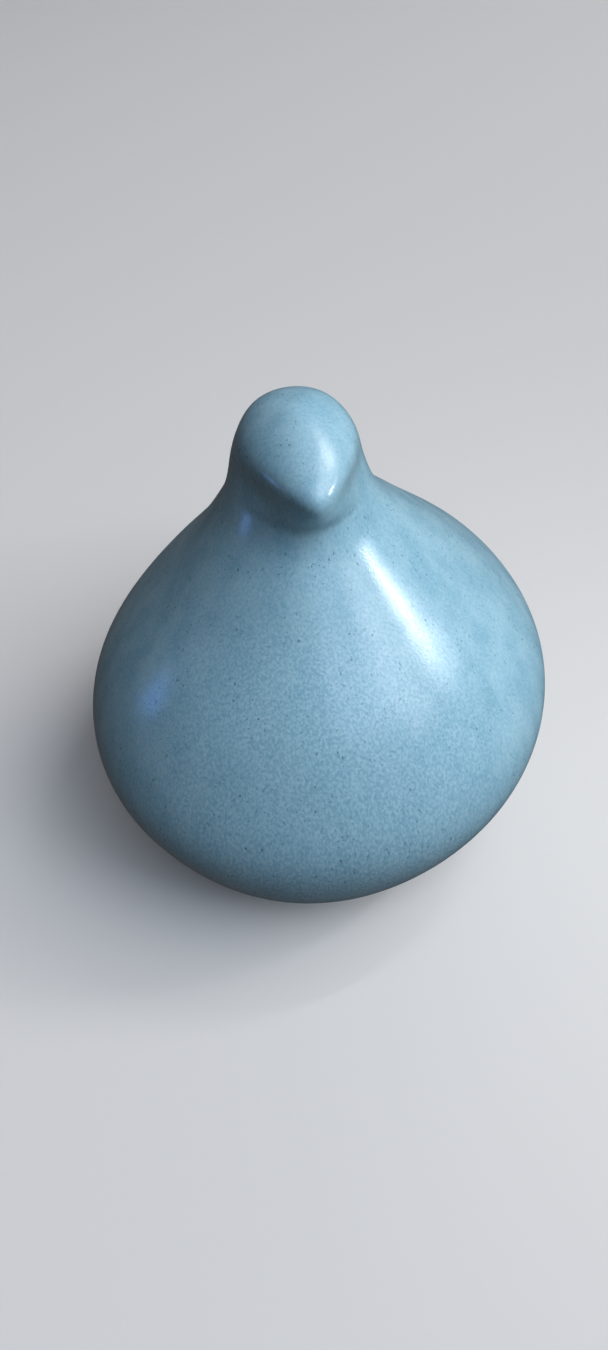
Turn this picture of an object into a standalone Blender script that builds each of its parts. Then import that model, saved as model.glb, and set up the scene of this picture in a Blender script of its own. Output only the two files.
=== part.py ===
# A plump dove in one piece of glazed stoneware, sitting on a flat foot and facing -Y,
# with its head turned a little to its left. Metres, +Z up, origin in the middle of the foot.

import math

import bmesh
import bpy
import numpy as np

# Heights above the foot
THROAT_HEIGHT = 0.1335      # the hollow under the beak
HEAD_HEIGHT = 0.0293        # throat to crown

# Reaches from the upright line through the neck
BREAST_REACH = 0.0765       # forward, at the fullest level
RUMP_REACH = 0.0980         # backward, without the tail
BEAK_REACH = 0.0342         # forward to the tip of the beak
NAPE_REACH = 0.0205         # backward, at the throat's level
CROWN_REACH = 0.0063        # forward to the top of the head

# Breadths from side to side
BREADTH = 0.1550            # across the belly
HEAD_BREADTH = 0.0430       # across the cheeks, at the throat's level

# The flat foot
FOOT_FRONT = 0.0420
FOOT_BACK = 0.0460
FOOT_BREADTH = 0.0760

# The short blunt tail, a swelling on the rump
TAIL_LENGTH = 0.0120
TAIL_BREADTH = 0.0520
TAIL_DEPTH = 0.0320
TAIL_HEIGHT = 0.0560        # its middle above the foot

HEAD_TURN = math.radians(21.5)
BEAK_DROOP = 0.0025         # the beak hangs this much lower than the cheeks

# The two profiles and the breadth of each level. A body row is a share of the throat's height,
# then a share of that line's own reach. A head row is the share of the way from the throat to
# the crown, then a share of the head's own reach.
BODY_FRONT = ((0.10, 0.80), (0.24, 0.96), (0.38, 1.00), (0.52, 0.915), (0.66, 0.76),
              (0.78, 0.575), (0.87, 0.45), (0.94, 0.37), (1.00, 0.335))
HEAD_FRONT = ((0.10, 0.75), (0.21, 0.815), (0.31, 0.89), (0.43, 0.975), (0.57, 0.98),
              (0.74, 0.77), (0.91, 0.465))
BODY_BACK = ((0.10, 0.675), (0.24, 0.86), (0.39, 1.00), (0.52, 0.96), (0.66, 0.75),
             (0.78, 0.54), (0.88, 0.38), (0.98, 0.23))
HEAD_BACK = ((0.45, 0.715), (0.82, 0.54))
BODY_SIDE = ((0.10, 0.70), (0.24, 0.92), (0.38, 1.00), (0.52, 0.93), (0.66, 0.755),
             (0.78, 0.57), (0.88, 0.415), (0.96, 0.315))
HEAD_SIDE = ((0.17, 0.935), (0.48, 0.835), (0.72, 0.705), (0.925, 0.40))

# How egg-shaped a level is: above nought it is fuller in front, below nought it comes to a point
BODY_EGG = ((0.24, 0.05), (0.41, 0.06), (0.56, 0.09), (0.75, 0.03), (0.90, 0.00), (0.965, -0.07))
HEAD_EGG = ((0.10, -0.16), (0.38, -0.46), (0.65, -0.28), (0.89, -0.13))

# The neck twists, and the beak droops, between these shares of the throat's height
TWIST_FROM = 0.84
TWIST_TO = 1.00
DROOP_FROM = 0.90
DROOP_TO = 1.05
DROOP_FADES = 1.09          # from here to the crown

BODY_RINGS = 40
HEAD_RINGS = 26
SEGMENTS = 56

GLAZE_COLOUR = (0.33, 0.50, 0.57, 1.0)
GLAZE_ROUGHNESS = 0.32


def clear_scene():
    for old in list(bpy.data.objects):
        bpy.data.objects.remove(old, do_unlink=True)


def spline(knots, values, where):
    # the cubic curve that bends least on its way through the values
    count = len(knots)
    step = np.diff(knots)
    system = np.eye(count)
    bend = np.zeros(count)
    for i in range(1, count - 1):
        system[i, i - 1:i + 2] = step[i - 1], 2 * (step[i - 1] + step[i]), step[i]
        bend[i] = 6 * ((values[i + 1] - values[i]) / step[i] - (values[i] - values[i - 1]) / step[i - 1])
    curve = np.linalg.solve(system, bend)
    i = np.clip(np.searchsorted(knots, where, side="right") - 1, 0, count - 2)
    run = where - knots[i]
    slope = (values[i + 1] - values[i]) / step[i] - step[i] * (2 * curve[i] + curve[i + 1]) / 6
    third = (curve[i + 1] - curve[i]) / (6 * step[i])
    return values[i] + slope * run + curve[i] / 2 * run ** 2 + third * run ** 3


def rail(at_foot, body_rows, body_reach, head_rows, head_reach, at_crown):
    # height angles and reaches along one line of the figure, from the foot to the crown
    rows = [(0.0, at_foot)]
    rows += [(share * THROAT_HEIGHT, reach * body_reach) for share, reach in body_rows]
    rows += [(THROAT_HEIGHT + share * HEAD_HEIGHT, reach * head_reach) for share, reach in head_rows]
    rows += [(THROAT_HEIGHT + HEAD_HEIGHT, at_crown)]
    heights = np.array([row[0] for row in rows])
    return np.arcsin(heights / heights[-1]), np.array([row[1] for row in rows])


def smooth_step(value, low, high):
    share = np.clip((value - low) / (high - low), 0, 1)
    return share * share * (3 - 2 * share)


def figure_rings():
    # one ring of points for each level, an array of rings x points x 3
    crown = THROAT_HEIGHT + HEAD_HEIGHT
    rails = (rail(FOOT_FRONT, BODY_FRONT, BREAST_REACH, HEAD_FRONT, BEAK_REACH, CROWN_REACH),
             rail(FOOT_BACK, BODY_BACK, RUMP_REACH, HEAD_BACK, NAPE_REACH, -CROWN_REACH),
             rail(FOOT_BREADTH / 2, BODY_SIDE, BREADTH / 2, HEAD_SIDE, HEAD_BREADTH / 2, 0.0),
             rail(0.0, BODY_EGG, 1.0, HEAD_EGG, 1.0, 0.0))

    # a level is named by the angle whose sine is its height, so that the crown comes out round
    fine = np.linspace(0, math.pi / 2, 2000)
    front, back, side, _ = (spline(knots, values, fine) for knots, values in rails)
    strides = np.diff(np.stack((crown * np.sin(fine), front, side)), axis=1)
    travel = np.append(0, np.cumsum(np.linalg.norm(strides, axis=0)))
    throat = np.interp(math.asin(THROAT_HEIGHT / crown), fine, travel)
    stops = np.append(np.linspace(0, throat, BODY_RINGS + 1)[:-1],
                      np.linspace(throat, travel[-1], HEAD_RINGS + 1)[:-1])
    angles = np.interp(stops, travel, fine)
    front, back, side, egg = (spline(knots, values, angles)[:, None] for knots, values in rails)
    height = crown * np.sin(angles)[:, None]

    # an oval through the four reaches, its widest point held to the side's reach
    turn = np.arange(SEGMENTS) * 2 * math.pi / SEGMENTS
    fullest = 2 * egg / (1 + np.sqrt(1 + 8 * egg ** 2))
    across = side * np.sin(turn) * (1 + egg * np.cos(turn))
    across /= np.sqrt(1 - fullest ** 2) * (1 + egg * fullest)
    along = (back - front) / 2 - (back + front) / 2 * np.cos(turn)

    behind = np.clip(-np.cos(turn), 0, 1) ** 2
    swelling = np.exp(-(2 * across / TAIL_BREADTH) ** 2 - (2 * (height - TAIL_HEIGHT) / TAIL_DEPTH) ** 2)
    along += TAIL_LENGTH * behind * swelling

    twist = HEAD_TURN * smooth_step(height, TWIST_FROM * THROAT_HEIGHT, TWIST_TO * THROAT_HEIGHT)
    x = across * np.cos(twist) - along * np.sin(twist)
    y = across * np.sin(twist) + along * np.cos(twist)

    ahead = np.clip(np.cos(turn), 0, 1)
    droop = smooth_step(height, DROOP_FROM * THROAT_HEIGHT, DROOP_TO * THROAT_HEIGHT)
    droop *= 1 - smooth_step(height, DROOP_FADES * THROAT_HEIGHT, crown)
    return np.stack((x, y, height - BEAK_DROOP * droop * ahead), axis=-1)


def loft(rings):
    # skin between neighbouring rings, closed by the flat foot below and a fan at the crown
    shape = bmesh.new()
    rows = [[shape.verts.new(point) for point in ring] for ring in rings]
    apex = shape.verts.new((CROWN_REACH * math.sin(HEAD_TURN), -CROWN_REACH * math.cos(HEAD_TURN),
                            THROAT_HEIGHT + HEAD_HEIGHT))
    for lower, upper in zip(rows, rows[1:]):
        for i in range(SEGMENTS):
            j = (i + 1) % SEGMENTS
            shape.faces.new((lower[i], lower[j], upper[j], upper[i]))
    for i in range(SEGMENTS):
        shape.faces.new((rows[-1][i], rows[-1][(i + 1) % SEGMENTS], apex))
    shape.faces.new(list(reversed(rows[0])))
    bmesh.ops.recalc_face_normals(shape, faces=shape.faces)
    mesh = bpy.data.meshes.new("dove")
    shape.to_mesh(mesh)
    shape.free()
    return mesh


def glaze():
    material = bpy.data.materials.new("pale blue stoneware glaze")
    material.use_nodes = True
    shader = material.node_tree.nodes["Principled BSDF"]
    shader.inputs["Base Color"].default_value = GLAZE_COLOUR
    shader.inputs["Roughness"].default_value = GLAZE_ROUGHNESS
    shader.inputs["Metallic"].default_value = 0.0
    return material


def build_dove(collection):
    mesh = loft(figure_rings())
    mesh.shade_smooth()
    mesh.set_sharp_from_angle(angle=math.radians(40))
    mesh.materials.append(glaze())
    dove = bpy.data.objects.new("dove", mesh)
    collection.objects.link(dove)


clear_scene()
figure = bpy.data.collections.new("dove statue")
bpy.context.scene.collection.children.link(figure)
build_dove(figure)
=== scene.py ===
import math

import bmesh
import bpy
import numpy as np
from mathutils import Matrix, Vector


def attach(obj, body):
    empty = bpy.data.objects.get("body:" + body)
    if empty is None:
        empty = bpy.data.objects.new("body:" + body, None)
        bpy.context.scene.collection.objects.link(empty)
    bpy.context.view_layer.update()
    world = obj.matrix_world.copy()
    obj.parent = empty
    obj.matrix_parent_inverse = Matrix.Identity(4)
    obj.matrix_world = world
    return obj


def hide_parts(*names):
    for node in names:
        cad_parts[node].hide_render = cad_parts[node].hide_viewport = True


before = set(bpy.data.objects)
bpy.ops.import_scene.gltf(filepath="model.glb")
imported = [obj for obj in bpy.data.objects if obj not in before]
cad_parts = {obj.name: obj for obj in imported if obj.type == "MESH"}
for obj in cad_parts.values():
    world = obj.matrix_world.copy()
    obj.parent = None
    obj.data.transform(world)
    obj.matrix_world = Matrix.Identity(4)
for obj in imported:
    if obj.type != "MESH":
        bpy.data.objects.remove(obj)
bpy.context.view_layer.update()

mm = 0.001

# A plump dove in glazed stoneware on a pale studio floor. It faces -Y and turns its head to its left.


def linear(hexColour):
    # sRGB hex to the linear values that Blender's colour sockets hold
    channels = [int(hexColour[i:i + 2], 16) / 255 for i in (1, 3, 5)]
    return tuple(c / 12.92 if c <= 0.04045 else ((c + 0.055) / 1.055) ** 2.4 for c in channels) + (1.0,)


def addNode(material, kind, settings=None, links=None):
    # one node, its plain settings and what feeds its inputs: links maps an input to (node, output)
    node = material.node_tree.nodes.new(kind)
    for name, value in (settings or {}).items():
        if name in node.inputs:
            node.inputs[name].default_value = value
        else:
            setattr(node, name, value)
    for name, (source, output) in (links or {}).items():
        material.node_tree.links.new(source.outputs[output], node.inputs[name])
    return node


# Camera, at the photograph's viewing angle
print("camera")
camera = {
    "azimuth": 14.5,            # degrees, from straight in front towards the bird's left
    "pitch": 43.2,              # degrees, looking down
    "roll": -5.3,               # degrees, the phone leans a little
    "distance": 363.0 * mm,
    "lookAt": Vector((-6.3, 10.6, 46.0)) * mm,
    "focalPixels": 1014,        # in the 608 x 1350 frame
    "framePixels": 1350,
    "sensor": 36.0,             # millimetres along the long side
}


def cameraAxes():
    azimuth, pitch, roll = (math.radians(camera[name]) for name in ("azimuth", "pitch", "roll"))
    back = Vector((math.sin(azimuth) * math.cos(pitch), -math.cos(azimuth) * math.cos(pitch), math.sin(pitch)))
    right = Vector((math.cos(azimuth), math.sin(azimuth), 0))
    up = back.cross(right)
    return (math.cos(roll) * right + math.sin(roll) * up,
            math.cos(roll) * up - math.sin(roll) * right, back)


right, up, back = cameraAxes()
cameraData = bpy.data.cameras.new("camera")
cameraData.sensor_width = camera["sensor"]
cameraData.lens = camera["sensor"] * camera["focalPixels"] / camera["framePixels"]
cameraData.clip_start = 10 * mm
cameraObject = bpy.data.objects.new("camera", cameraData)
bpy.context.scene.collection.objects.link(cameraObject)
turned = Matrix((right, up, back)).transposed().to_4x4()
cameraObject.matrix_world = Matrix.Translation(camera["lookAt"] + camera["distance"] * back) @ turned
bpy.context.scene.camera = cameraObject


# The dove: two profiles, a breadth and a fullness for every level, lofted into one skin
print("dove")
dove = {
    "throatHeight": 133.5 * mm,
    "headHeight": 29.3 * mm,        # throat to crown
    "breastReach": 76.5 * mm,       # forward from the upright line through the neck
    "rumpReach": 98.0 * mm,
    "beakReach": 34.2 * mm,
    "napeReach": 20.5 * mm,
    "crownReach": 6.3 * mm,
    "breadth": 155.0 * mm,
    "headBreadth": 43.0 * mm,
    "footFront": 42.0 * mm,
    "footBack": 46.0 * mm,
    "footBreadth": 76.0 * mm,
    "tailLength": 12.0 * mm,
    "tailBreadth": 52.0 * mm,
    "tailDepth": 32.0 * mm,
    "tailHeight": 56.0 * mm,
    "headTurn": 21.5,               # degrees
    "beakDroop": 2.5 * mm,          # the beak hangs this much lower than the cheeks
    "twist": (0.84, 1.00),          # where the neck twists, in shares of the throat's height
    "droop": (0.90, 1.05),          # where the beak's droop sets in
    "droopFades": 1.09,             # and from where it fades up to the crown
    "bodyRings": 190,
    "headRings": 110,
    "segments": 256,
    # a body row is a share of the throat's height and a share of that line's reach,
    # a head row a share of the way from the throat to the crown and a share of the head's reach
    "bodyFront": ((0.10, 0.80), (0.24, 0.96), (0.38, 1.00), (0.52, 0.915), (0.66, 0.76),
                  (0.78, 0.575), (0.87, 0.45), (0.94, 0.37), (1.00, 0.335)),
    "headFront": ((0.10, 0.75), (0.21, 0.815), (0.31, 0.89), (0.43, 0.975), (0.57, 0.98),
                  (0.74, 0.77), (0.91, 0.465)),
    "bodyBack": ((0.10, 0.675), (0.24, 0.86), (0.39, 1.00), (0.52, 0.96), (0.66, 0.75),
                 (0.78, 0.54), (0.88, 0.38), (0.98, 0.23)),
    "headBack": ((0.45, 0.715), (0.82, 0.54)),
    "bodySide": ((0.10, 0.70), (0.24, 0.92), (0.38, 1.00), (0.52, 0.93), (0.66, 0.755),
                 (0.78, 0.57), (0.88, 0.415), (0.96, 0.315)),
    "headSide": ((0.17, 0.935), (0.48, 0.835), (0.72, 0.705), (0.925, 0.40)),
    # above nought a level is fuller in front, below nought it comes to a point
    "bodyEgg": ((0.24, 0.05), (0.41, 0.06), (0.56, 0.09), (0.75, 0.03), (0.90, 0.00), (0.965, -0.07)),
    "headEgg": ((0.10, -0.16), (0.38, -0.46), (0.65, -0.28), (0.89, -0.13)),
}


def spline(knots, values, where):
    # the cubic curve that bends least on its way through the values
    count, step = len(knots), np.diff(knots)
    system, bend = np.eye(count), np.zeros(count)
    for i in range(1, count - 1):
        system[i, i - 1:i + 2] = step[i - 1], 2 * (step[i - 1] + step[i]), step[i]
        bend[i] = 6 * ((values[i + 1] - values[i]) / step[i] - (values[i] - values[i - 1]) / step[i - 1])
    curve = np.linalg.solve(system, bend)
    i = np.clip(np.searchsorted(knots, where, side="right") - 1, 0, count - 2)
    run = where - knots[i]
    slope = (values[i + 1] - values[i]) / step[i] - step[i] * (2 * curve[i] + curve[i + 1]) / 6
    third = (curve[i + 1] - curve[i]) / (6 * step[i])
    return values[i] + slope * run + curve[i] / 2 * run ** 2 + third * run ** 3


def rail(line, atFoot, bodyReach, headReach, atCrown):
    # one line of the figure from the foot to the crown: height angles and reaches
    rows = [(0.0, atFoot)]
    rows += [(share * dove["throatHeight"], reach * bodyReach) for share, reach in dove["body" + line]]
    rows += [(dove["throatHeight"] + share * dove["headHeight"], reach * headReach)
             for share, reach in dove["head" + line]]
    rows += [(dove["throatHeight"] + dove["headHeight"], atCrown)]
    heights = np.array([row[0] for row in rows])
    return np.arcsin(heights / heights[-1]), np.array([row[1] for row in rows])


def smoothStep(value, low, high):
    share = np.clip((value - low) / (high - low), 0, 1)
    return share * share * (3 - 2 * share)


def doveRings():
    crown = dove["throatHeight"] + dove["headHeight"]
    rails = (rail("Front", dove["footFront"], dove["breastReach"], dove["beakReach"], dove["crownReach"]),
             rail("Back", dove["footBack"], dove["rumpReach"], dove["napeReach"], -dove["crownReach"]),
             rail("Side", dove["footBreadth"] / 2, dove["breadth"] / 2, dove["headBreadth"] / 2, 0.0),
             rail("Egg", 0.0, 1.0, 1.0, 0.0))
    # levels are angles whose sine is the height, so that the crown comes out round
    fine = np.linspace(0, math.pi / 2, 4000)
    front, rear, side, _ = (spline(knots, values, fine) for knots, values in rails)
    strides = np.diff(np.stack((crown * np.sin(fine), front, side)), axis=1)
    travel = np.append(0, np.cumsum(np.linalg.norm(strides, axis=0)))
    throat = np.interp(math.asin(dove["throatHeight"] / crown), fine, travel)
    stops = np.append(np.linspace(0, throat, dove["bodyRings"] + 1)[:-1],
                      np.linspace(throat, travel[-1], dove["headRings"] + 1)[:-1])
    angles = np.interp(stops, travel, fine)
    front, rear, side, egg = (spline(knots, values, angles)[:, None] for knots, values in rails)
    height = crown * np.sin(angles)[:, None]
    # an oval through the four reaches
    turn = np.arange(dove["segments"]) * 2 * math.pi / dove["segments"]
    fullest = 2 * egg / (1 + np.sqrt(1 + 8 * egg ** 2))
    across = side * np.sin(turn) * (1 + egg * np.cos(turn)) / (np.sqrt(1 - fullest ** 2) * (1 + egg * fullest))
    along = (rear - front) / 2 - (rear + front) / 2 * np.cos(turn)
    # the tail swells out of the rump
    behind = np.clip(-np.cos(turn), 0, 1) ** 2
    swelling = np.exp(-(2 * across / dove["tailBreadth"]) ** 2
                      - (2 * (height - dove["tailHeight"]) / dove["tailDepth"]) ** 2)
    along += dove["tailLength"] * behind * swelling
    # the head turns on the neck
    level = height / dove["throatHeight"]
    headTurn = math.radians(dove["headTurn"])
    twist = headTurn * smoothStep(level, *dove["twist"])
    # and the beak droops
    droop = smoothStep(level, *dove["droop"])
    droop *= 1 - smoothStep(level, dove["droopFades"], crown / dove["throatHeight"])
    points = np.stack((across * np.cos(twist) - along * np.sin(twist),
                       across * np.sin(twist) + along * np.cos(twist),
                       height - dove["beakDroop"] * droop * np.clip(np.cos(turn), 0, 1)), axis=-1)
    reach = dove["crownReach"]
    return points, (reach * math.sin(headTurn), -reach * math.cos(headTurn), crown)


def doveMesh():
    points, crown = doveRings()
    rings, segments = points.shape[:2]
    here = np.arange(segments)
    beside = np.roll(here, -1)
    faces = []
    for ring in range(rings - 1):
        low, high = ring * segments, (ring + 1) * segments
        faces += np.stack((low + here, low + beside, high + beside, high + here), axis=1).tolist()
    last, apex = (rings - 1) * segments, rings * segments
    faces += [[last + i, last + j, apex] for i, j in zip(here.tolist(), beside.tolist())]
    faces.append(here[::-1].tolist())
    mesh = bpy.data.meshes.new("dove skin")
    mesh.from_pydata(points.reshape(-1, 3).tolist() + [list(crown)], [], faces)
    mesh.validate()
    mesh.shade_smooth()
    mesh.set_sharp_from_angle(angle=math.radians(40))
    return mesh


# Haresfur glaze on stoneware, dipped and fired: pale blue, semi-matte and finely mottled. It ran a
# little while it melted, so its clouds and its slate specks are taller than they are wide.
print("glaze")
glazeLook = {
    "pale": "#A5CAD5",
    "mist": "#7EACBE",          # where the glaze lies thinner
    "slate": "#3F5F73",         # the iron-blue specks
    "breastSpot": (17.0 * mm, -68.0 * mm, 75.0 * mm),
    "mottled": (30.0 * mm, 75.0 * mm),      # the mottle is strong this near the spot, faint this far off
    "mottleShare": (0.85, 0.42),            # its share of the tone there, the clouds have the rest
    "dimpleDepth": 0.014 * mm,  # dimples in the skin, which break up the gloss into sparks
    "roughness": 0.22,
    "ior": 1.52,
    # Layers of noise: how wide and tall the blotches are, their detail and how much the finer detail
    # counts, what stretch of the noise is kept and what it becomes. The real mottle and dimples are at
    # the limit of what the photograph shows, so here they are only as fine as the picture can hold.
    "layers": {
        "clouds": {"size": (9.0, 24.0), "detail": 3.0, "fine": 0.5, "kept": (0.25, 0.75), "becomes": (0, 1)},
        "mottle": {"size": (0.75, 1.5), "detail": 2.0, "fine": 0.6, "kept": (0.30, 0.70), "becomes": (0, 1)},
        "specks": {"size": (0.9, 1.7), "detail": 1.0, "fine": 0.5, "kept": (0.62, 0.80), "becomes": (0, 1)},
        "speckPatches": {"size": (11.0, 11.0), "detail": 1.0, "fine": 0.5, "kept": (0.40, 0.65),
                         "becomes": (0.10, 0.85)},
        "dimples": {"size": (0.7, 0.7), "detail": 1.0, "fine": 0.5, "kept": (0.25, 0.75), "becomes": (0, 1)},
    },
}


def haresfurGlaze():
    material = bpy.data.materials.new("haresfurGlaze")
    material.use_nodes = True
    material.node_tree.nodes.clear()
    place = addNode(material, "ShaderNodeTexCoord")
    layers = {}
    for name, look in glazeLook["layers"].items():
        width, height = (side * mm for side in look["size"])
        stretched = addNode(material, "ShaderNodeMapping", {"Scale": (1 / width, 1 / width, 1 / height)},
                            {"Vector": (place, "Object")})
        noise = addNode(material, "ShaderNodeTexNoise", {
            "Scale": 1.0, "Detail": look["detail"], "Roughness": look["fine"]},
            {"Vector": (stretched, "Vector")})
        layers[name] = addNode(material, "ShaderNodeMapRange", {
            "interpolation_type": "SMOOTHSTEP", "From Min": look["kept"][0], "From Max": look["kept"][1],
            "To Min": look["becomes"][0], "To Max": look["becomes"][1]}, {"Value": (noise, "Fac")})

    # clouds and mottle shift the tone between mist and pale
    away = addNode(material, "ShaderNodeVectorMath", {"operation": "DISTANCE"}, {0: (place, "Object")})
    away.inputs[1].default_value = glazeLook["breastSpot"]
    near, far = glazeLook["mottled"]
    strong, faint = glazeLook["mottleShare"]
    share = addNode(material, "ShaderNodeMapRange", {
        "interpolation_type": "SMOOTHSTEP", "From Min": near, "From Max": far, "To Min": strong, "To Max": faint},
        {"Value": (away, "Value")})
    tone = addNode(material, "ShaderNodeMix", {"data_type": "FLOAT"}, {
        "Factor": (share, "Result"), "A": (layers["clouds"], "Result"), "B": (layers["mottle"], "Result")})
    # a colour mix keeps its two colours in sockets 6 and 7 and gives the result in output 2
    body = addNode(material, "ShaderNodeMix", {"data_type": "RGBA"}, {"Factor": (tone, 0)})
    body.inputs[6].default_value = linear(glazeLook["mist"])
    body.inputs[7].default_value = linear(glazeLook["pale"])

    # sparse slate specks, crowded in patches
    crowded = addNode(material, "ShaderNodeMath", {"operation": "MULTIPLY"},
                      {0: (layers["specks"], "Result"), 1: (layers["speckPatches"], "Result")})
    speckled = addNode(material, "ShaderNodeMix", {"data_type": "RGBA"},
                       {"Factor": (crowded, "Value"), 6: (body, 2)})
    speckled.inputs[7].default_value = linear(glazeLook["slate"])

    dimpled = addNode(material, "ShaderNodeBump", {"Strength": 1.0, "Distance": glazeLook["dimpleDepth"]},
                      {"Height": (layers["dimples"], "Result")})
    shader = addNode(material, "ShaderNodeBsdfPrincipled", {
        "Roughness": glazeLook["roughness"], "IOR": glazeLook["ior"]},
        {"Base Color": (speckled, 2), "Normal": (dimpled, "Normal")})
    addNode(material, "ShaderNodeOutputMaterial", None, {"Surface": (shader, "BSDF")})
    return material


skin = doveMesh()
skin.materials.append(haresfurGlaze())
doveObject = bpy.data.objects.new("glazedDove", skin)
bpy.context.scene.collection.objects.link(doveObject)
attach(doveObject, "root")
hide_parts("dove")


# Studio: a plain pale floor and daylight from the bird's left, from a big softbox high up, with small
# ones that give the glaze its highlights
print("studio")
studio = {
    "floorColour": "#E6E1DA",
    "floorRoughness": 0.8,
    "floorSize": 24.0,
    "worldColour": "#F2E9EA",
    "worldStrength": 0.075,
    "domeColour": "#C4C3C2",
    "domeRadius": 5.0,
}

# Each softbox: the spot it aims at, where it stands seen from there (degrees from straight in front
# towards the bird's left, and degrees up), how far off, its width and height, its watts and colour.
# Two of the small ones only show in the gloss, and the fill behind only in the matt part.
softboxes = {
    "backFill": {
        "aim": (0, 0, 80), "from": (185, 20), "distance": 6000, "size": (6000, 3000), "power": 50.0,
        "colour": "#F4F6FF", "diffuse": True, "gloss": False},
    "skylight": {
        "aim": (0, 0, 80), "from": (90, 45), "distance": 6000, "size": (6000, 5000), "power": 256.0,
        "colour": "#FBFCFF", "diffuse": True, "gloss": True},
    "openSky": {
        "aim": (0, 0, 80), "from": (50, 50), "distance": 6000, "size": (5000, 5000), "power": 210.0,
        "colour": "#CDE3FF", "diffuse": True, "gloss": True},
    "window": {
        "aim": (24, -18, 121), "from": (95, 21), "distance": 220, "size": (28, 22), "power": 0.088,
        "colour": "#FFFFFF", "diffuse": True, "gloss": True},
    "windowGlow": {
        "aim": (36, -20, 108), "from": (98, 22), "distance": 240, "size": (84, 76), "power": 0.10,
        "colour": "#EAF5FF", "diffuse": False, "gloss": True},
    "pane": {
        "aim": (14, -18, 155), "from": (118, 46), "distance": 300, "size": (9, 130), "power": 0.13,
        "colour": "#FFFFFF", "diffuse": True, "gloss": True},
    "blueGlint": {
        "aim": (-37, -44, 89), "from": (-82, 8), "distance": 180, "size": (40, 46), "power": 0.023,
        "colour": "#76A2F8", "diffuse": False, "gloss": True},
}

floorMesh = bpy.data.meshes.new("floor")
half = studio["floorSize"] / 2
floorCorners = [(-half, -half, 0), (half, -half, 0), (half, half, 0), (-half, half, 0)]
floorMesh.from_pydata(floorCorners, [], [(0, 1, 2, 3)])
floorObject = bpy.data.objects.new("floor", floorMesh)
bpy.context.scene.collection.objects.link(floorObject)
floorPaint = bpy.data.materials.new("paleFloor")
floorPaint.use_nodes = True
floorShader = floorPaint.node_tree.nodes["Principled BSDF"]
floorShader.inputs["Base Color"].default_value = linear(studio["floorColour"])
floorShader.inputs["Roughness"].default_value = studio["floorRoughness"]
floorMesh.materials.append(floorPaint)
# the floor throws no light back up, so that the shaded side stays as deep as in the photograph
floorObject.visible_diffuse = False
floorObject.visible_glossy = False

# a plain pale backdrop behind the horizon, which only the camera sees
domeShape = bmesh.new()
bmesh.ops.create_uvsphere(domeShape, u_segments=48, v_segments=24, radius=studio["domeRadius"])
domeMesh = bpy.data.meshes.new("backdrop")
domeShape.to_mesh(domeMesh)
domeShape.free()
domePaint = bpy.data.materials.new("paleBackdrop")
domePaint.use_nodes = True
domePaint.node_tree.nodes.clear()
glow = addNode(domePaint, "ShaderNodeEmission", {"Color": linear(studio["domeColour"]), "Strength": 1.0})
addNode(domePaint, "ShaderNodeOutputMaterial", None, {"Surface": (glow, "Emission")})
domeMesh.materials.append(domePaint)
domeObject = bpy.data.objects.new("backdrop", domeMesh)
bpy.context.scene.collection.objects.link(domeObject)
domeObject.visible_diffuse = False
domeObject.visible_glossy = False
domeObject.visible_shadow = False


def softbox(name, box):
    data = bpy.data.lights.new(name, "AREA")
    data.shape = "RECTANGLE"
    data.size, data.size_y = (side * mm for side in box["size"])
    data.energy = box["power"]
    data.color = linear(box["colour"])[:3]
    azimuth, elevation = (math.radians(angle) for angle in box["from"])
    towards = Vector((math.sin(azimuth) * math.cos(elevation), -math.cos(azimuth) * math.cos(elevation),
                      math.sin(elevation)))
    lamp = bpy.data.objects.new(name, data)
    lamp.location = (Vector(box["aim"]) + towards * box["distance"]) * mm
    lamp.rotation_mode = "QUATERNION"
    lamp.rotation_quaternion = towards.to_track_quat("Z", "Y")
    lamp.visible_camera = False
    lamp.visible_diffuse = box["diffuse"]
    lamp.visible_glossy = box["gloss"]
    bpy.context.scene.collection.objects.link(lamp)


for name, box in softboxes.items():
    softbox(name, box)
bpy.context.scene.view_settings.view_transform = "Standard"
world = bpy.data.worlds.new("studio")
world.use_nodes = True
world.node_tree.nodes["Background"].inputs["Color"].default_value = linear(studio["worldColour"])
world.node_tree.nodes["Background"].inputs["Strength"].default_value = studio["worldStrength"]
bpy.context.scene.world = world
